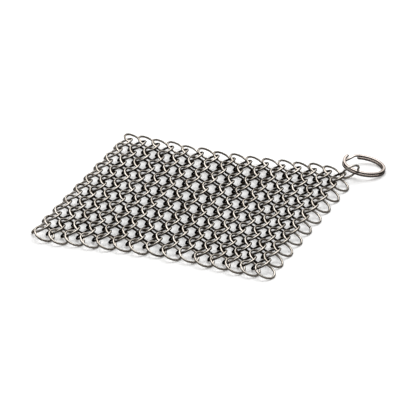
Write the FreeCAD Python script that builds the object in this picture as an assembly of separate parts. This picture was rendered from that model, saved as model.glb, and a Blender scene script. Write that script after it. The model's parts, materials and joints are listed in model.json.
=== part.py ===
"""Chain-mail pot scrubber: a square mat of linked wire rings with a split ring at one corner.

The mat lies flat. X runs across the rows of rings, Y runs along them and Z is up, with the
origin under the middle of the mat, on the surface that it lies on.
"""
import FreeCAD, Part
import math
import os

V = FreeCAD.Vector
X_AXIS = V(1, 0, 0)
Y_AXIS = V(0, 1, 0)
Z_AXIS = V(0, 0, 1)

# Wire rings of the mat, in millimetres
ring_outer_diameter = 12.9
ring_wire = 1.3
link_slack = 1.42
crossing_room = 2.13

# Weave: rows of rings that lean by turns to one side and to the other
row_count = 30
short_row_rings = 9
long_row_rings = short_row_rings + 1

# Angle of a link to its row, in degrees, at the mat's drawn-in waist and at its two outer rows
waist_link_angle = 35.3
edge_link_angle = 29.2

# Loose rings at the ends of the long rows: they droop outwards onto the table
end_lean_share = 0.9
end_droop_share = 0.22
end_draw_in = 0.6

# Uneven settling: these end rings stray from their places, and the rings between sway, in degrees
end_stray = 0.6
ring_sway = 1.6
golden_angle = 137.5

# Corner ring that carries the split ring: the way it is drawn out, and its tilt, in degrees
corner_slack = 1.62
corner_heading = 45.8
corner_tilt_heading = 54.8
corner_tilt = 57.9

# Split ring of flattened wire, two turns with a step between them
split_outer_diameter = 25.5
split_wire_width = 1.9
split_wire_thickness = 1.2
split_turn_gap = 0.45
split_end_lift = 1.2

# Place of the split ring: the way it is drawn out, and the way its plane tips down, in degrees
split_slack = 1.03
split_heading = 77.4
split_tip_heading = 20.9
split_tip = 10.5

# Angles along the split ring's wire, in degrees
split_step_turn = 33.0
split_step_margin = 3.0
split_end_bearing = 127.0
split_runs_per_turn = 4

# Rings as circles of the wire's centre line
ring_radius = (ring_outer_diameter - ring_wire) / 2
link_length = ring_outer_diameter - 2 * ring_wire - link_slack
link_half_chord = math.sqrt(ring_radius**2 - (link_length / 2) ** 2)
mean_link_angle = math.radians((waist_link_angle + edge_link_angle) / 2)
crossing_span = 2 * link_half_chord * math.cos(mean_link_angle)
row_lean = math.degrees(math.atan((ring_wire + crossing_room) / crossing_span))

# Split ring worked out from its own sizes
split_radius = (split_outer_diameter - split_wire_width) / 2
split_turn_rise = split_wire_thickness + split_turn_gap


def link_angle(row):
    """Angle between a row and its links: a smooth bell from the outer rows to the waist."""
    across = 2 * row / (row_count - 1) - 1
    bell = (1 + math.cos(math.pi * across)) / 2
    return math.radians(edge_link_angle + (waist_link_angle - edge_link_angle) * bell)


def ring_pitch(row):
    """Distance between neighbouring rings of one row."""
    return 2 * link_length * math.cos(link_angle(row))


def row_places():
    """X of every row. A row whose rings stand closer pushes its neighbours further away."""
    places = [0.0]
    for row in range(row_count - 1):
        half_pitch = (ring_pitch(row) + ring_pitch(row + 1)) / 4
        places.append(places[-1] + math.sqrt(link_length**2 - half_pitch**2))
    return [x - places[-1] / 2 for x in places]


def rings_in(row):
    """Short and long rows follow each other, from a short one at the -X edge."""
    return short_row_rings if row % 2 == 0 else long_row_rings


def wire_ring(rotation, centre):
    """One closed ring of round wire."""
    ring = Part.makeTorus(ring_radius, ring_wire / 2)
    ring.Placement = FreeCAD.Placement(centre, rotation)
    return ring


def resting_height(rotation):
    """Height of a tilted ring's centre when its lowest point lies on the table."""
    upright = rotation.multVec(Z_AXIS).z
    return ring_radius * math.sqrt(1 - upright**2) + ring_wire / 2


def settle(row, index, turns):
    """A ring's own share of the uneven settling, from -1 to 1."""
    return math.sin(math.radians(golden_angle * turns * (row * long_row_rings + index)))


def row_ring(row, index, x):
    """One ring of a row, leaning with its row. The end rings of a long row droop outwards."""
    count = rings_in(row)
    y = (index - (count - 1) / 2) * ring_pitch(row)
    lean = -row_lean if row % 2 == 0 else row_lean
    tip = 0.0
    side = (index == count - 1) - (index == 0)
    if side == 0:
        lean += ring_sway * settle(row, index, 1)
        tip = ring_sway * settle(row, index, 2)
    elif count == long_row_rings:
        lean *= end_lean_share
        tip = -side * end_droop_share * row_lean
        x += end_stray * settle(row, index, 3)
        y -= side * (end_draw_in + end_stray * settle(row, index, 4))
    rotation = FreeCAD.Rotation(X_AXIS, tip).multiply(FreeCAD.Rotation(Y_AXIS, lean))
    return wire_ring(rotation, V(x, y, resting_height(rotation)))


def ring_row(row, x):
    """A row of separate rings. The last row leaves its far ring to the corner."""
    count = rings_in(row) - (row == row_count - 1)
    return Part.makeCompound([row_ring(row, index, x) for index in range(count)])


def heading(degrees):
    """Unit vector in plan, turned from +X towards +Y."""
    angle = math.radians(degrees)
    return V(math.cos(angle), math.sin(angle), 0)


def corner_place(x):
    """Rotation and centre of the corner ring, linked to the far end of the last short row."""
    y = (short_row_rings - 1) / 2 * ring_pitch(row_count - 2)
    reach = ring_outer_diameter - 2 * ring_wire - corner_slack
    rotation = FreeCAD.Rotation(heading(corner_tilt_heading), -corner_tilt)
    centre = V(x, y, resting_height(rotation))
    return rotation, centre + heading(corner_heading) * reach


def corner_ring(x):
    """The loose ring at the mat's corner."""
    return wire_ring(*corner_place(x))


def split_height(turn):
    """Height of the wire's centre, by the angle along it from the end of the lower turn."""
    low_run = 360 - split_step_turn - split_step_margin
    if turn <= low_run:
        return -split_turn_rise / 2
    if turn < 2 * low_run + split_step_turn:
        return split_turn_rise / 2
    return split_turn_rise / 2 + split_end_lift


def split_stations():
    """Angles along the wire where its arcs begin: even runs on both levels and one step."""
    low_run = 360 - split_step_turn - split_step_margin
    low = [low_run * n / split_runs_per_turn for n in range(split_runs_per_turn + 1)]
    return low + [low_run + split_step_turn + turn for turn in low]


def split_point(turn):
    """A point on the wire's centre line. The wire runs clockwise as seen from above."""
    angle = math.radians(split_end_bearing - turn)
    return V(split_radius * math.cos(angle), split_radius * math.sin(angle), split_height(turn))


def split_tangent(turn, last):
    """Direction of the wire at a station: level, except at the sprung upper end."""
    angle = math.radians(split_end_bearing - turn)
    level = V(math.sin(angle), -math.cos(angle), 0)
    if turn < last:
        return level
    run = split_radius * math.radians((360 - split_step_turn) / split_runs_per_turn)
    return (level + Z_AXIS * (2 * split_end_lift / run)).normalize()


def arc_from_corner(start, corner, end):
    """Arc between two points whose tangents meet at a corner."""
    weight = (end - start).Length / 2 / (corner - start).Length
    middle = (start + corner * (2 * weight) + end) * (1 / (2 + 2 * weight))
    return Part.Arc(start, middle, end)


def biarc(start, start_way, end, end_way):
    """Two arcs that join two points along given directions, with one direction where they meet."""
    chord = end - start
    ways = start_way + end_way
    a = 2 * (1 - start_way.dot(end_way))
    b = chord.dot(ways)
    reach = (-b + math.sqrt(b**2 + a * chord.dot(chord))) / a
    first = start + start_way * reach
    second = end - end_way * reach
    join = (first + second) * 0.5
    return [arc_from_corner(start, first, join), arc_from_corner(join, second, end)]


def split_path():
    """Arcs of the split ring's centre line, from its lower end to its upper end."""
    stations = split_stations()
    arcs = []
    for begin, finish in zip(stations, stations[1:]):
        ways = [split_tangent(turn, stations[-1]) for turn in (begin, finish)]
        arcs += biarc(split_point(begin), ways[0], split_point(finish), ways[1])
    return arcs


def split_section():
    """Flattened wire with round inner and outer edges, square to the path at its lower end."""
    start = split_point(0)
    out = V(start.x, start.y, 0).normalize()
    side = out * ((split_wire_width - split_wire_thickness) / 2)
    edge = out * (split_wire_width / 2)
    up = Z_AXIS * (split_wire_thickness / 2)
    corners = [start - side + up, start + side + up, start + side - up, start - side - up]
    return Part.Wire([
        Part.LineSegment(corners[0], corners[1]).toShape(),
        Part.Arc(corners[1], start + edge, corners[2]).toShape(),
        Part.LineSegment(corners[2], corners[3]).toShape(),
        Part.Arc(corners[3], start - edge, corners[0]).toShape(),
    ])


def split_self_gap(arcs, samples=12):
    """Least gap between the turns, measured on points of the wire's outline."""
    points = []
    for arc in arcs:
        for n in range(samples):
            share = n / samples
            centre = arc.value(arc.FirstParameter + share * (arc.LastParameter - arc.FirstParameter))
            out = V(centre.x, centre.y, 0).normalize()
            for across in (-1, 0, 1):
                for up in (-1, 1):
                    offset = out * (across * (split_wire_width - split_wire_thickness) / 2)
                    points.append(centre + offset + Z_AXIS * (up * split_wire_thickness / 2))
    per_centre = 6
    apart = len(points) // (2 * split_runs_per_turn)
    apart -= apart % per_centre
    return min((q - p).Length for n, p in enumerate(points) for q in points[n + apart:])


def split_ring(x):
    """The split ring, threaded on the corner ring, with its outer side on the table."""
    arcs = split_path()
    print("least gap of the split ring to itself: %.3f mm" % split_self_gap(arcs))
    path = Part.Wire([arc.toShape() for arc in arcs])
    ring = path.makePipeShell([split_section()], True, False)
    carrier = corner_place(x)[1]
    reach = ring_radius + split_radius - (ring_wire + split_wire_width) / 2 - split_slack
    tip = math.radians(split_tip)
    flat = (split_wire_width - split_wire_thickness) / 2
    height = (split_turn_rise * math.cos(tip) + split_wire_thickness) / 2
    height += (split_radius + flat) * math.sin(tip)
    low_side = heading(split_tip_heading)
    rotation = FreeCAD.Rotation(V(-low_side.y, low_side.x, 0), split_tip)
    centre = V(carrier.x, carrier.y, height) + heading(split_heading) * reach
    ring.Placement = FreeCAD.Placement(centre, rotation)
    return ring


def main():
    """Build every piece and write it to its own file."""
    os.makedirs("parts", exist_ok=True)
    places = row_places()
    pieces = {"ring_row_%02d" % (row + 1): ring_row(row, x) for row, x in enumerate(places)}
    pieces["corner_ring"] = corner_ring(places[-2])
    pieces["split_ring"] = split_ring(places[-2])
    for name, piece in pieces.items():
        piece.exportStep("parts/%s.step" % name)


main()
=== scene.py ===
"""Looks of a chain-mail pot scrubber: rows of welded wire rings and a two-turn split ring.

Each piece is a surface worked out on a grid of two parameters, around the wire and along it,
and it stands where the frame's own solid is. Lengths are in metres.
"""
import json
import logging
import math
from dataclasses import dataclass
from enum import Enum
from typing import Any, Union

import bpy
import numpy as np
from mathutils import Matrix, Vector
from numpy.typing import NDArray


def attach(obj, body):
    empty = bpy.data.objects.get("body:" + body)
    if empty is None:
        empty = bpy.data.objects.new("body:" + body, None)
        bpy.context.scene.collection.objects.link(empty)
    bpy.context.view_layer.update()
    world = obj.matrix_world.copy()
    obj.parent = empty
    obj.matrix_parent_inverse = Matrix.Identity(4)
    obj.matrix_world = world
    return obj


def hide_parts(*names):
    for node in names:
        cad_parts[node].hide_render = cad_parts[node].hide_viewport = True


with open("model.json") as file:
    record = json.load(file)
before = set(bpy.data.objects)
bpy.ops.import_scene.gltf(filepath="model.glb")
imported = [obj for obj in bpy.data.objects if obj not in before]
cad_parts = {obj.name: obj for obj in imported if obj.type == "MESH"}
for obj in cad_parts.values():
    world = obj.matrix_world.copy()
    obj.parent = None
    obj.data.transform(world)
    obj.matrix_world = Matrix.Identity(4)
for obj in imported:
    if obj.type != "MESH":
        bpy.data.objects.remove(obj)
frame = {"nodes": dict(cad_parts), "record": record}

Array = NDArray[np.float64]
Number = Union[float, "Value"]
Colour = tuple[float, float, float, float]
Place = tuple[float, float, float]

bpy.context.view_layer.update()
MM = 0.001
FULL_TURN = 2 * math.pi
GOLDEN_SHARE = (math.sqrt(5) - 1) / 2
EDGE_TINT: Colour = (0.1, 0.1, 0.1, 1.0)
BLACK: Colour = (0.0, 0.0, 0.0, 1.0)

# Names of the wire's own UV map and of what a wire's points carry
WIRE_UV = "wire"
WELD = "weld"
TONE = "tone"
TILT = "tilt"
# Share to which a ring's painted shade is lifted from both sides, kept on its flanks
SHADE_LIFT = "rubbed"
OUTSIDE = "outside"

log = logging.getLogger("scrubber")


class Value:
    """A number socket that takes part in Python expressions."""

    def __init__(self, shader: "Shader", socket: bpy.types.NodeSocket) -> None:
        """Keep the socket with the shader that it belongs to."""
        self.shader = shader
        self.socket = socket

    def _math(self, operation: str, first: Number, second: Number) -> "Value":
        """Add one Math node.

        Args:
            operation: The node's operation.
            first: Its first input.
            second: Its second input.

        Returns:
            The node's result.
        """
        return self.shader.node("ShaderNodeMath", {"operation": operation}, {0: first, 1: second})

    def __add__(self, other: Number) -> "Value":
        """Sum of two numbers."""
        return self._math("ADD", self, other)

    def __radd__(self, other: Number) -> "Value":
        """Sum of two numbers."""
        return self._math("ADD", other, self)

    def __sub__(self, other: Number) -> "Value":
        """Difference of two numbers."""
        return self._math("SUBTRACT", self, other)

    def __rsub__(self, other: Number) -> "Value":
        """Difference of two numbers."""
        return self._math("SUBTRACT", other, self)

    def __mul__(self, other: Number) -> "Value":
        """Product of two numbers."""
        return self._math("MULTIPLY", self, other)

    def __rmul__(self, other: Number) -> "Value":
        """Product of two numbers."""
        return self._math("MULTIPLY", other, self)

    def __pow__(self, other: Number) -> "Value":
        """Power of a number."""
        return self._math("POWER", self, other)

    def __abs__(self) -> "Value":
        """Size of a number, without its sign."""
        return self._math("ABSOLUTE", self, 0.0)

    def cosine(self) -> "Value":
        """Cosine of an angle."""
        return self._math("COSINE", self, 0.0)

    def sine(self) -> "Value":
        """Sine of an angle."""
        return self._math("SINE", self, 0.0)

    def at_least(self, other: Number) -> "Value":
        """Greater of two numbers."""
        return self._math("MAXIMUM", self, other)

    def smooth(self, low: float, high: float) -> "Value":
        """Smooth rise from 0 at the low limit to 1 at the high one."""
        inputs = {"Value": self, "From Min": low, "From Max": high}
        return self.shader.node("ShaderNodeMapRange", {"interpolation_type": "SMOOTHSTEP"}, inputs)


class Shader:
    """A node tree that is built by calls of one method."""

    def __init__(self, tree: bpy.types.NodeTree) -> None:
        """Start from an empty tree."""
        self.tree = tree
        tree.nodes.clear()

    def node(self, kind: str, settings: dict[str, Any], inputs: dict[Any, Any], out: Any = 0) -> Value:
        """Add one node.

        Args:
            kind: The node's type.
            settings: Properties that are set first. "stops" holds a ramp's places and colours.
            inputs: Values or links, by the socket's name or number.
            out: Name or number of the output to hand back.

        Returns:
            That output, ready for expressions.
        """
        node = self.tree.nodes.new(kind)
        for key, value in settings.items():
            if key == "stops":
                self._set_stops(node.color_ramp.elements, value)
            else:
                setattr(node, key, value)
        for key, value in inputs.items():
            if isinstance(value, Value):
                self.tree.links.new(value.socket, node.inputs[key])
            else:
                node.inputs[key].default_value = value
        return Value(self, node.outputs[out]) if node.outputs else Value(self, None)

    @staticmethod
    def _set_stops(elements: Any, stops: list[tuple[float, Colour]]) -> None:
        """Give a ramp its stops.

        Args:
            elements: The ramp's own stops, of which more are added as needed.
            stops: Places and colours, in order of place.
        """
        while len(elements) < len(stops):
            elements.new(1.0)
        for element, (place, colour) in zip(elements, stops):
            element.position = place
            element.color = colour

    def attribute(self, name: str) -> Value:
        """A number that the mesh's points carry."""
        return self.node("ShaderNodeAttribute", {"attribute_name": name}, {}, "Fac")

    def mix(self, factor: Number, first: Any, second: Any) -> Value:
        """Blend two colours.

        Args:
            factor: 0 for the first colour, 1 for the second.
            first: A colour or a link to one.
            second: A colour or a link to one.

        Returns:
            The blended colour.
        """
        settings = {"data_type": "RGBA", "clamp_factor": True}
        return self.node("ShaderNodeMix", settings, {0: factor, 6: first, 7: second}, 2)


class Scratches(Enum):
    """How the wire's surface was left: how often its lines repeat along it and around it."""

    DRAWN = (3.0, 46.0)
    ROLLED = (9.0, 30.0)


@dataclass(frozen=True)
class SteelFinish:
    """Stainless wire, bright or dull at random, painted shade where it faces in and on its flanks, tinted at
    a weld.
    """

    name: str
    bright: Colour
    dull: Colour
    painted_shade: Colour
    weld: Colour
    roughness: float
    roughness_spread: float
    scratches: Scratches
    # Painted shade fades out between two levels of facing outwards; a loose ring's flanks get a fixed level
    shade_fade_start: float
    shade_fade_end: float
    loose_flank_unshaded: float = 0.2
    shade_raggedness: float = 0.16
    mottle_scale: float = 420.0
    mottle_detail: float = 3.0
    mottle_shine: float = 0.6
    tone_shine: float = 0.45
    line_shine: float = 0.35
    shine_loss: float = 0.25
    dull_roughness: float = 0.06
    weld_roughness: float = 0.22
    least_roughness: float = 0.08
    scratch_depth: float = 0.012 * MM
    scratch_shift: float = 60.0
    scratch_detail: float = 2.0

    def material(self) -> bpy.types.Material:
        """Build the steel's material.

        Returns:
            A material whose colour and roughness vary along each ring, with fine lines in its surface.
        """
        material = bpy.data.materials.new(self.name)
        material.use_nodes = True
        shader = Shader(material.node_tree)
        place = shader.node("ShaderNodeTexCoord", {}, {}, "Object")
        uv = shader.node("ShaderNodeUVMap", {"uv_map": WIRE_UV}, {}, "UV")
        along = shader.node("ShaderNodeSeparateXYZ", {}, {0: uv}, "X")
        around = Value(shader, along.socket.node.outputs["Y"])
        tone = shader.attribute(TONE)
        weld = shader.attribute(WELD)
        grain = {"Vector": place, "Scale": self.mottle_scale, "Detail": self.mottle_detail}
        mottle = shader.node("ShaderNodeTexNoise", {}, grain)
        lines = self._lines(shader, along, around, tone)
        swing = lines - 0.5
        # Painted shade where the wire faces into the mat and on its flanks: 0 fully shaded, 1 unshaded
        unshaded = self._outward(shader, along, around) + swing * self.shade_raggedness
        unshaded = unshaded.smooth(self.shade_fade_start, self.shade_fade_end)
        shine = mottle * self.mottle_shine + tone * self.tone_shine
        shine = shine + lines * self.line_shine - self.shine_loss
        colour = shader.mix(shine, self.dull, self.bright)
        # Lay the painted shade over the wire's colour
        colour = shader.mix(unshaded, self.painted_shade, colour)
        colour = shader.mix(weld, colour, self.weld)
        roughness = self.roughness + swing * self.roughness_spread
        roughness = roughness + (1 - shine) * self.dull_roughness + weld * self.weld_roughness
        relief = {"Strength": 1.0, "Distance": self.scratch_depth, "Height": lines}
        surface = shader.node("ShaderNodeBsdfPrincipled", {}, {
            "Base Color": colour,
            "Metallic": 1.0,
            "Specular Tint": EDGE_TINT,
            "Roughness": roughness.at_least(self.least_roughness),
            "Normal": shader.node("ShaderNodeBump", {}, relief),
        })
        shader.node("ShaderNodeOutputMaterial", {}, {"Surface": surface})
        return material

    def _outward(self, shader: Shader, along: Value, around: Value) -> Value:
        """How far the wire's surface faces out of the mat, which sets where shade is painted on it.

        The surface's normal is cos v (cos u * rise + sin u * side) + sin v * axis. Its height is
        t cos u cos v + sqrt(1 - t^2) sin v, where t is the height of the ring's rise. Out is up
        on the upper side of the mat and down on its lower side. Shade is painted where the wire faces
        into the mat; a loose ring keeps it only on its flanks, lifted from its upper and lower sides.

        Args:
            shader: The material's nodes.
            along: Share of the way along the ring, from its highest place.
            around: Share of the way around the wire, from its outer side.

        Returns:
            In the mat, 1 where it faces straight out and -1 where it faces straight in. On a
            loose ring, 1 on its upper and lower sides and a fixed low level on its flanks.
        """
        tilt = shader.attribute(TILT)
        outside = shader.attribute(OUTSIDE)
        rubbed = shader.attribute(SHADE_LIFT)
        u = along * FULL_TURN
        v = around * FULL_TURN
        height = tilt * u.cosine() * v.cosine() + (1 - tilt * tilt) ** 0.5 * v.sine()
        # A loose ring keeps its painted shade only on its flanks
        loose = self.loose_flank_unshaded + (1 - self.loose_flank_unshaded) * abs(height)
        return height * outside * (1 - rubbed) + loose * rubbed

    def _lines(self, shader: Shader, along: Value, around: Value, tone: Value) -> Value:
        """Fine lines that run along the wire, other ones on each ring.

        Args:
            shader: The material's nodes.
            along: Share of the way along the wire.
            around: Share of the way around the wire.
            tone: The ring's own number, which shifts the pattern.

        Returns:
            Height of the lines, from 0 to 1.
        """
        per_length, per_round = self.scratches.value
        place = {0: along * per_length, 1: around * per_round, 2: tone * self.scratch_shift}
        vector = shader.node("ShaderNodeCombineXYZ", {}, place)
        grain = {"Vector": vector, "Scale": 1.0, "Detail": self.scratch_detail}
        return shader.node("ShaderNodeTexNoise", {}, grain)


RING_STEEL = SteelFinish(
    name="drawn_ring_wire",
    bright=(0.63, 0.59, 0.54, 1.0),
    dull=(0.33, 0.295, 0.253, 1.0),
    # Painted shade: the colour laid where the wire faces into the mat and on its flanks
    painted_shade=(0.03, 0.0235, 0.018, 1.0),
    weld=(0.14, 0.115, 0.10, 1.0),
    roughness=0.14,
    roughness_spread=0.17,
    scratches=Scratches.DRAWN,
    shade_fade_start=0.22,
    shade_fade_end=0.75,
)
SPLIT_STEEL = SteelFinish(
    name="rolled_split_ring_wire",
    bright=(0.67, 0.62, 0.585, 1.0),
    dull=(0.42, 0.358, 0.32, 1.0),
    # Painted shade: the colour laid on the flat wire's inner and outer edges, a line between its two turns
    painted_shade=(0.012, 0.0105, 0.0095, 1.0),
    weld=(0.20, 0.18, 0.17, 1.0),
    roughness=0.18,
    roughness_spread=0.14,
    scratches=Scratches.ROLLED,
    shade_fade_start=0.45,
    shade_fade_end=0.95,
)


@dataclass
class TubeGrid:
    """Points of one or more tubes, by tube, place along it and place around it.

    The shares along and around are the wire's own UV. Each tube has a tone, a tilt and a share
    to which its painted shade is lifted from both sides. Along it, outside is 1 above the mat and -1 below
    it.
    """

    points: Array
    along: Array
    around: Array
    weld: Array
    tone: Array
    tilt: Array
    rubbed: Array
    outside: Array
    closed: bool

    def numbers(self) -> NDArray[np.int64]:
        """Number of every point, by tube, place along and place around."""
        count = self.points.shape[:3]
        return np.arange(np.prod(count)).reshape(count)

    def faces(self) -> NDArray[np.int64]:
        """Join neighbouring points into quads that face outwards.

        Returns:
            Four point numbers for each quad, by tube, place along and place around.
        """
        index = self.numbers()
        ahead = np.roll(index, -1, axis=1)
        beside = np.roll(index, -1, axis=2)
        quads = np.stack([index, beside, np.roll(ahead, -1, axis=2), ahead], axis=-1)
        return quads if self.closed else quads[:, :-1]

    def corner_uv(self) -> Array:
        """Place of every quad's corners on the wire.

        Returns:
            Shares along and around, by tube, place along, place around and corner.
        """
        ahead = np.roll(self.along, -1, axis=1)
        ahead[:, -1] = self.along[:, 0] + 1.0
        low = self.around
        high = np.append(low[1:], low[0] + 1.0)
        corners = [(self.along, low), (self.along, high), (ahead, high), (ahead, low)]
        pairs = [np.broadcast_arrays(u[:, :, None], v[None, None]) for u, v in corners]
        uv = np.stack([np.stack(pair, axis=-1) for pair in pairs], axis=3)
        return uv if self.closed else uv[:, :-1]

    def to_object(self, name: str, material: bpy.types.Material) -> bpy.types.Object:
        """Make the mesh object.

        Args:
            name: The piece's name.
            material: Its finish.

        Returns:
            The object, at the origin, with smooth faces and the wire's own UV map.
        """
        quads = self.faces().reshape(-1, 4)
        index = self.numbers()
        caps = [] if self.closed else [index[0, 0, ::-1].tolist(), index[0, -1].tolist()]
        mesh = bpy.data.meshes.new(name)
        mesh.from_pydata(self.points.reshape(-1, 3), [], quads.tolist() + caps)
        uv = np.zeros((len(mesh.loops), 2))
        corners = self.corner_uv().reshape(-1, 2)
        uv[: len(corners)] = corners
        mesh.uv_layers.new(name=WIRE_UV).uv.foreach_set("vector", uv.ravel())
        shares = {WELD: self.weld, OUTSIDE: self.outside}
        shares |= {TONE: self.tone[:, None], TILT: self.tilt[:, None], SHADE_LIFT: self.rubbed[:, None]}
        for key, values in shares.items():
            layer = mesh.attributes.new(key, "FLOAT", "POINT")
            layer.data.foreach_set("value", np.broadcast_to(values[..., None], index.shape).ravel())
        smooth = np.ones(len(mesh.polygons), dtype=bool)
        smooth[len(quads):] = False
        mesh.polygons.foreach_set("use_smooth", smooth)
        mesh.materials.append(material)
        mesh.update()
        piece = bpy.data.objects.new(name, mesh)
        bpy.context.scene.collection.objects.link(piece)
        return piece


@dataclass
class RingRow:
    """One row of the mat: separate rings of round wire, each closed by a weld.

    A point of a ring is centre + (R + r cos v)(cos u * rise + sin u * side) + r sin v * normal,
    with the wire's radius r swelling at the weld and nicked in its middle. Lifting of the painted
    shade from both sides begins and is full at two distances from the mat's middle, across its rows and
    along them.
    """

    node: str
    body: str
    number: int
    around: int = 8
    plain_steps: int = 13
    usual_pitch: float = 15.0 * MM
    usual_diameter: float = 12.9 * MM
    sorting_rounds: int = 8
    bead_length: float = 0.55 * MM
    bead_share: float = 0.07
    nick_length: float = 0.11 * MM
    nick_share: float = 0.30
    tint_length: float = 0.9 * MM
    tint_share: float = 0.35
    weld_row_step: int = 7
    tone_ring_step: int = 11
    tone_row_step: int = 5
    # Painted shade is lifted from both sides of a ring from these distances, across the rows and along them
    shade_lift_from: tuple[float, float] = (60.0 * MM, 61.5 * MM)
    shade_lift_to: tuple[float, float] = (68.0 * MM, 65.0 * MM)
    outside_slope: float = 2.5

    def solid_corners(self) -> Array:
        """Read the solid's triangles.

        Returns:
            Their corners, by triangle and corner.
        """
        mesh = frame["nodes"][self.node].data
        points = np.zeros(len(mesh.vertices) * 3)
        mesh.vertices.foreach_get("co", points)
        mesh.calc_loop_triangles()
        triangles = np.zeros(len(mesh.loop_triangles) * 3, dtype=np.int32)
        mesh.loop_triangles.foreach_get("vertices", triangles)
        return points.reshape(-1, 3)[triangles.reshape(-1, 3)]

    def sorted_by_ring(self, y: Array, area: Array) -> list[NDArray[np.int64]]:
        """Tell the row's rings apart.

        The row's length gives their number. Each triangle goes to the ring whose centre is
        nearest, and each centre moves to the mean of its triangles, for a few rounds.

        Args:
            y: Place of every triangle along the row.
            area: Its area.

        Returns:
            The numbers of each ring's triangles.
        """
        count = max(1, round((np.ptp(y) - self.usual_diameter) / self.usual_pitch) + 1)
        inset = min(self.usual_diameter, np.ptp(y)) / 2
        centres = np.linspace(y.min() + inset, y.max() - inset, count)
        for _ in range(self.sorting_rounds):
            nearest = np.abs(y[:, None] - centres).argmin(axis=1)
            centres = np.bincount(nearest, y * area) / np.bincount(nearest, area)
        return [np.nonzero(nearest == ring)[0] for ring in range(count)]

    def solid_rings(self) -> tuple[Array, Array, float, float]:
        """Read the row's rings off its solid.

        A ring's centre is the mean of its triangles by area, and its normal is the direction in
        which they spread least.

        Returns:
            Centres, frames of unit vectors (rise, side, normal), ring radius and wire radius.
        """
        corners = self.solid_corners()
        middle = corners.mean(axis=1)
        sides = corners[:, 1:] - corners[:, :1]
        area = np.linalg.norm(np.cross(sides[:, 0], sides[:, 1]), axis=1)
        centres, frames, reaches, heights = [], [], [], []
        for group in self.sorted_by_ring(middle[:, 1], area):
            centre = np.average(middle[group], axis=0, weights=area[group])
            offset = middle[group] - centre
            spread = (offset * area[group, None]).T @ offset
            normal = np.linalg.eigh(spread)[1][:, 0]
            normal = normal * np.sign(normal[2])
            rise = np.array((0.0, 0.0, 1.0)) - normal[2] * normal
            rise = rise / np.linalg.norm(rise)
            axes = np.stack([rise, np.cross(normal, rise), normal])
            local = (corners[group].reshape(-1, 3) - centre) @ axes.T
            centres.append(centre)
            frames.append(axes)
            reaches.append(np.hypot(local[:, 0], local[:, 1]).max())
            heights.append(np.abs(local[:, 2]).max())
        wire = float(np.mean(heights))
        return np.array(centres), np.array(frames), float(np.mean(reaches)) - wire, wire

    def welded_wire(self, length: float) -> tuple[Array, Array, Array]:
        """Work out the wire along a ring, with closer steps at its weld.

        Bead, nick and tint are bells exp(-(s / l)^2) of the distance s from the weld.

        Args:
            length: Length of the ring's wire.

        Returns:
            Places along the wire from its weld, its thickness as a share of the plain wire's,
            and how much it is tinted.
        """
        half = np.array((0.0, self.nick_length, self.bead_length))
        steps = np.concatenate([-half[:0:-1], half])
        plain = np.linspace(steps[-1], length + steps[0], self.plain_steps + 2)[1:-1]
        travel = np.concatenate([steps, plain])
        from_weld = np.where(travel > length / 2, travel - length, travel)
        spans = np.array((self.bead_length, self.nick_length, self.tint_length))
        bead, nick, tint = np.exp(-((from_weld / spans[:, None]) ** 2))
        thickness = 1 + self.bead_share * bead - self.nick_share * nick
        return travel, thickness, tint * self.tint_share + nick * (1 - self.tint_share)

    def own_shares(self, count: int) -> tuple[Array, Array]:
        """Give each ring numbers of its own, spread evenly by steps of the golden share.

        Args:
            count: How many rings the row has.

        Returns:
            Place of each ring's weld, and its tone, from 0 to 1.
        """
        ring = np.arange(1, count + 1)
        weld = GOLDEN_SHARE * ring + GOLDEN_SHARE**2 * self.weld_row_step * self.number
        tone = GOLDEN_SHARE**2 * self.tone_ring_step * ring + GOLDEN_SHARE * self.tone_row_step * self.number
        return weld % 1.0, tone % 1.0

    def edge_shade_lift(self, centres: Array) -> Array:
        """Share to which each ring's painted shade is lifted from both sides: 1 at the mat's edge, 0 further
        in.
        """
        edge = (np.abs(centres[:, :2]) - self.shade_lift_from) / np.subtract(self.shade_lift_to, self.shade_lift_from)
        return np.clip(edge, 0, 1).max(axis=1)

    def grid(self) -> TubeGrid:
        """Work out the row's points.

        Returns:
            All rings of the row, each with its weld at another place.
        """
        centres, frames, radius, wire = self.solid_rings()
        length = FULL_TURN * radius
        travel, thickness, tint = self.welded_wire(length)
        share, tone = self.own_shares(len(centres))
        along = share[:, None] + travel[None, :] / length
        u = FULL_TURN * along
        around = np.arange(self.around) / self.around
        v = FULL_TURN * around
        section = wire * thickness
        reach = radius + section[:, None] * np.cos(v)
        rise, side, normal = (frames[:, None, None, n, :] for n in range(3))
        spoke = np.cos(u)[..., None, None] * rise + np.sin(u)[..., None, None] * side
        points = centres[:, None, None] + reach[None, :, :, None] * spoke
        points = points + (section[:, None] * np.sin(v))[None, :, :, None] * normal
        return TubeGrid(
            points=points,
            along=along,
            around=around,
            weld=np.broadcast_to(tint[None, :], u.shape),
            tone=tone,
            tilt=frames[:, 0, 2],
            # Painted shade lifted from both sides of the rings at the mat's edge, kept on their flanks
            rubbed=self.edge_shade_lift(centres),
            outside=np.clip(self.outside_slope * np.cos(u), -1, 1),
            closed=True,
        )

    def build(self, material: bpy.types.Material) -> bpy.types.Object:
        """Make the row and let it stand for its solid.

        Args:
            material: The rings' finish.

        Returns:
            The row's object.
        """
        piece = self.grid().to_object("rings_of_" + self.body, material)
        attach(piece, self.body)
        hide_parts(self.node)
        return piece


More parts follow.
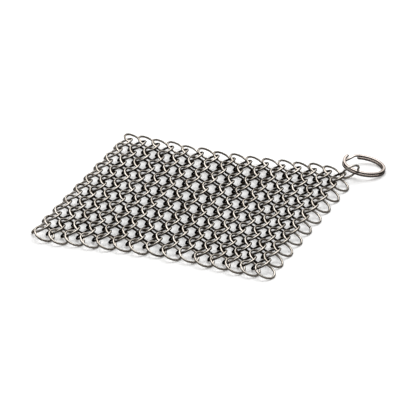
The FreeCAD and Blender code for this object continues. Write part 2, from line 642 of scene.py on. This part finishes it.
@dataclass
class SplitRing:
    """Flattened wire in two turns, with a step from the lower turn to the upper one.

    A point is path(t) + x(v) * out + y(v) * up. The path runs clockwise on a circle, and its
    height is two joined parabolas over the step and one parabola at the sprung upper end.
    """

    node: str = "split_ring"
    body: str = "split_ring"
    mount: str = "hanging_loop"
    outer_diameter: float = 25.5 * MM
    wire_width: float = 1.9 * MM
    wire_thickness: float = 1.2 * MM
    turn_gap: float = 0.45 * MM
    end_lift: float = 1.2 * MM
    end_bearing: float = math.radians(127.0)
    step_turn: float = math.radians(33.0)
    step_margin: float = math.radians(3.0)
    spring_share: float = 0.25
    chamfer: float = 0.16 * MM
    chamfer_share: float = 0.76
    end_tint: float = 0.5
    end_tint_chamfers: float = 4.0
    tone: float = 0.4
    steps: int = 200
    arc_points: int = 9

    @property
    def level_run(self) -> float:
        """Angle of the wire's run on each of its two levels."""
        return FULL_TURN - self.step_turn - self.step_margin

    @property
    def whole_run(self) -> float:
        """Angle along the whole wire."""
        return 2 * self.level_run + self.step_turn

    def heights(self, turn: Array) -> Array:
        """Height of the wire's middle above the ring's middle plane.

        Args:
            turn: Angles along the wire from the end of the lower turn.

        Returns:
            One height for each angle.
        """
        rise = self.wire_thickness + self.turn_gap
        share = np.clip((turn - self.level_run) / self.step_turn, 0, 1)
        step = np.where(share < 0.5, 2 * share**2, 1 - 2 * (1 - share) ** 2)
        spring_run = self.level_run * self.spring_share
        spring = np.clip((turn - self.whole_run + spring_run) / spring_run, 0, 1)
        return rise * (step - 0.5) + self.end_lift * spring**2

    def section(self) -> tuple[Array, Array, Array]:
        """Outline of the wire: two half circles joined by flats.

        Returns:
            Offsets outwards, offsets upwards, and shares of the way around the wire.
        """
        half = self.wire_thickness / 2
        flat = (self.wire_width - self.wire_thickness) / 2
        right = np.linspace(-math.pi / 2, math.pi / 2, self.arc_points)
        angle = np.concatenate([right, right + math.pi])
        shift = np.repeat((flat, -flat), self.arc_points)
        return shift + half * np.cos(angle), half * np.sin(angle), 1 + angle / FULL_TURN

    def grid(self) -> TubeGrid:
        """Work out the split ring's points.

        Returns:
            One open tube with chamfered ends.
        """
        radius = (self.outer_diameter - self.wire_width) / 2
        whole = self.whole_run
        ends = self.chamfer / radius
        turn = np.concatenate([[0.0], np.linspace(ends, whole - ends, self.steps), [whole]])
        bearing = self.end_bearing - turn
        out = np.stack([np.cos(bearing), np.sin(bearing), np.zeros_like(bearing)], axis=1)
        path = radius * out
        path[:, 2] = self.heights(turn)
        way = np.gradient(path, turn, axis=0)
        way = way / np.linalg.norm(way, axis=1, keepdims=True)
        up = np.cross(way, out)
        scale = np.ones((len(turn), 1))
        scale[[0, -1]] = self.chamfer_share
        x, y, around = self.section()
        outwards = (scale * x)[..., None] * out[:, None]
        upwards = (scale * y)[..., None] * up[:, None]
        points = (path[:, None] + outwards + upwards) @ self.turned().T + self.centre()
        from_end = np.minimum(turn, whole - turn) / (self.end_tint_chamfers * ends)
        return TubeGrid(
            points=points[None],
            along=turn[None] / whole,
            around=around,
            weld=self.end_tint * np.exp(-(from_end[None] ** 2)),
            tone=np.full(1, self.tone),
            tilt=np.zeros(1),
            # Painted shade on the split ring only on its flat wire's inner and outer edges
            rubbed=np.ones(1),
            outside=np.zeros((1, len(turn))),
            closed=False,
        )

    def _mount(self) -> dict[str, Any]:
        """The record's hanging loop, which is the split ring's middle."""
        return next(mount for mount in frame["record"]["mounts"] if mount["name"] == self.mount)

    def centre(self) -> Array:
        """Middle of the split ring."""
        return np.array(self._mount()["pos_m"])

    def turned(self) -> Array:
        """Least rotation that tips the upright onto the split ring's axis, as a matrix."""
        axis = Vector(self._mount()["axis"])
        return np.array(Vector((0, 0, 1)).rotation_difference(axis).to_matrix())

    def build(self, material: bpy.types.Material) -> bpy.types.Object:
        """Make the split ring and let it stand for its solid.

        Args:
            material: The split ring's finish.

        Returns:
            The split ring's object.
        """
        piece = self.grid().to_object("split_ring_wire", material)
        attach(piece, self.body)
        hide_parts(self.node)
        return piece


@dataclass(frozen=True)
class Lamp:
    """A square soft light that faces the mat, with its power in watts."""

    name: str
    place: Place
    side: float
    power: float

    def hang(self) -> None:
        """Add the lamp to the scene."""
        data = bpy.data.lights.new(self.name, "AREA")
        data.shape = "SQUARE"
        data.size = self.side
        data.energy = self.power
        lamp = bpy.data.objects.new(self.name, data)
        lamp.location = self.place
        lamp.rotation_euler = Vector(self.place).to_track_quat("Z", "Y").to_euler()
        bpy.context.scene.collection.objects.link(lamp)


SOFT_LIGHTS = (
    Lamp("softbox_above", (-0.1, 0.35, 1.3), 1.1, 10.5),
    Lamp("softbox_behind", (-0.35, 1.25, 0.9), 1.3, 10.0),
    Lamp("softbox_left", (-1.2, -0.4, 0.9), 0.6, 1.5),
)


@dataclass
class Studio:
    """White table, soft light from above and a camera far away.

    The room's colours change with height: the sine of the angle above the table's level.
    """

    azimuth: float = math.radians(21.1)
    elevation: float = math.radians(25.0)
    distance: float = 3.0
    pixels_per_metre: float = 1748.0
    picture_px: float = 416.0
    mat_centre_px: tuple[float, float] = (194.0, 203.0)
    mat_middle: float = 3.42 * MM
    table_size: float = 6.0
    table_colour: Colour = (0.93, 0.93, 0.925, 1.0)
    table_glow: Colour = (0.14, 0.14, 0.14, 1.0)
    table_roughness: float = 0.9
    backdrop: Colour = (1.0, 1.0, 1.0, 1.0)
    backdrop_top: float = 0.06
    horizon: Colour = (0.03, 0.03, 0.032, 1.0)
    horizon_low: float = 0.10
    horizon_top: float = 0.30
    wall: Colour = (0.40, 0.40, 0.40, 1.0)
    wall_height: float = 0.48
    zenith: Colour = (0.55, 0.55, 0.55, 1.0)
    zenith_height: float = 0.8

    def camera(self) -> None:
        """Set the camera at the photograph's angle, framed on the mat."""
        back = Vector((
            math.sin(self.azimuth) * math.cos(self.elevation),
            -math.cos(self.azimuth) * math.cos(self.elevation),
            math.sin(self.elevation),
        ))
        right = Vector((math.cos(self.azimuth), math.sin(self.azimuth), 0.0))
        up = back.cross(right)
        shift = [(self.picture_px / 2 - px) / self.pixels_per_metre for px in self.mat_centre_px]
        aim = Vector((0, 0, self.mat_middle)) + right * shift[0] - up * shift[1]
        data = bpy.data.cameras.new("camera")
        data.lens = data.sensor_width * self.distance * self.pixels_per_metre / self.picture_px
        camera = bpy.data.objects.new("camera", data)
        turn = Matrix((right, up, back)).transposed().to_4x4()
        camera.matrix_world = Matrix.Translation(aim + back * self.distance) @ turn
        bpy.context.scene.collection.objects.link(camera)
        bpy.context.scene.camera = camera

    def table(self) -> None:
        """Lay the table, which looks white where nothing shades it."""
        half = self.table_size / 2
        mesh = bpy.data.meshes.new("table")
        corners = [(-half, -half, 0.0), (half, -half, 0.0), (half, half, 0.0), (-half, half, 0.0)]
        mesh.from_pydata(corners, [], [(0, 1, 2, 3)])
        mesh.materials.append(self.table_finish())
        table = bpy.data.objects.new("table", mesh)
        bpy.context.scene.collection.objects.link(table)

    def table_finish(self) -> bpy.types.Material:
        """Build the table's material.

        Returns:
            A matt white that glows a little where it is seen.
        """
        material = bpy.data.materials.new("table_white")
        material.use_nodes = True
        shader = Shader(material.node_tree)
        surface = shader.node("ShaderNodeBsdfPrincipled", {}, {
            "Base Color": self.table_colour,
            "Roughness": self.table_roughness,
            "Specular IOR Level": 0.0,
            "Emission Color": shader.mix(self._seen_ray(shader), BLACK, self.table_glow),
            "Emission Strength": 1.0,
        })
        shader.node("ShaderNodeOutputMaterial", {}, {"Surface": surface})
        return material

    @staticmethod
    def _seen_ray(shader: Shader) -> Value:
        """Tell the rays that show the table from those that only carry its light.

        Args:
            shader: The material's nodes.

        Returns:
            1 for a straight ray, a reflection and a ray that passes through something.
        """
        straight = shader.node("ShaderNodeLightPath", {}, {}, "Is Camera Ray")
        glossy = Value(shader, straight.socket.node.outputs["Is Glossy Ray"])
        through = Value(shader, straight.socket.node.outputs["Is Transmission Ray"])
        return straight.at_least(glossy).at_least(through)

    def sky(self) -> None:
        """Light the room: a low white backdrop, a near-black band, grey walls and a pale ceiling."""
        world = bpy.data.worlds.new("room")
        bpy.context.scene.world = world
        world.use_nodes = True
        shader = Shader(world.node_tree)
        way = shader.node("ShaderNodeTexCoord", {}, {}, "Generated")
        height = shader.node("ShaderNodeSeparateXYZ", {}, {0: way}, "Z")
        stops = [
            (0.0, self.backdrop),
            (self.backdrop_top, self.backdrop),
            (self.horizon_low, self.horizon),
            (self.horizon_top, self.horizon),
            (self.wall_height, self.wall),
            (self.zenith_height, self.zenith),
        ]
        room = shader.node("ShaderNodeValToRGB", {"stops": stops}, {0: height}, "Color")
        surface = shader.node("ShaderNodeBackground", {}, {"Color": room, "Strength": 1.0})
        shader.node("ShaderNodeOutputWorld", {}, {"Surface": surface})

    def build(self) -> None:
        """Set up table, room, lamps and camera."""
        bpy.context.scene.view_settings.view_transform = "Standard"
        self.table()
        self.sky()
        for light in SOFT_LIGHTS:
            light.hang()
        self.camera()


def main() -> None:
    """Build the rows, the corner ring, the split ring and the studio."""
    steel = RING_STEEL.material()
    bodies = frame["record"]["behaviour"]["bodies"]
    rings = [(nodes[0], body) for body, nodes in bodies.items() if nodes[0] != SplitRing.node]
    pieces = [RingRow(node, body, number).build(steel) for number, (node, body) in enumerate(rings)]
    pieces.append(SplitRing().build(SPLIT_STEEL.material()))
    for piece in pieces:
        log.info("%s: %d faces", piece.name, len(piece.data.polygons))
    Studio().build()


if __name__ == "__main__":
    logging.basicConfig(level=logging.INFO, format="%(message)s")
    main()
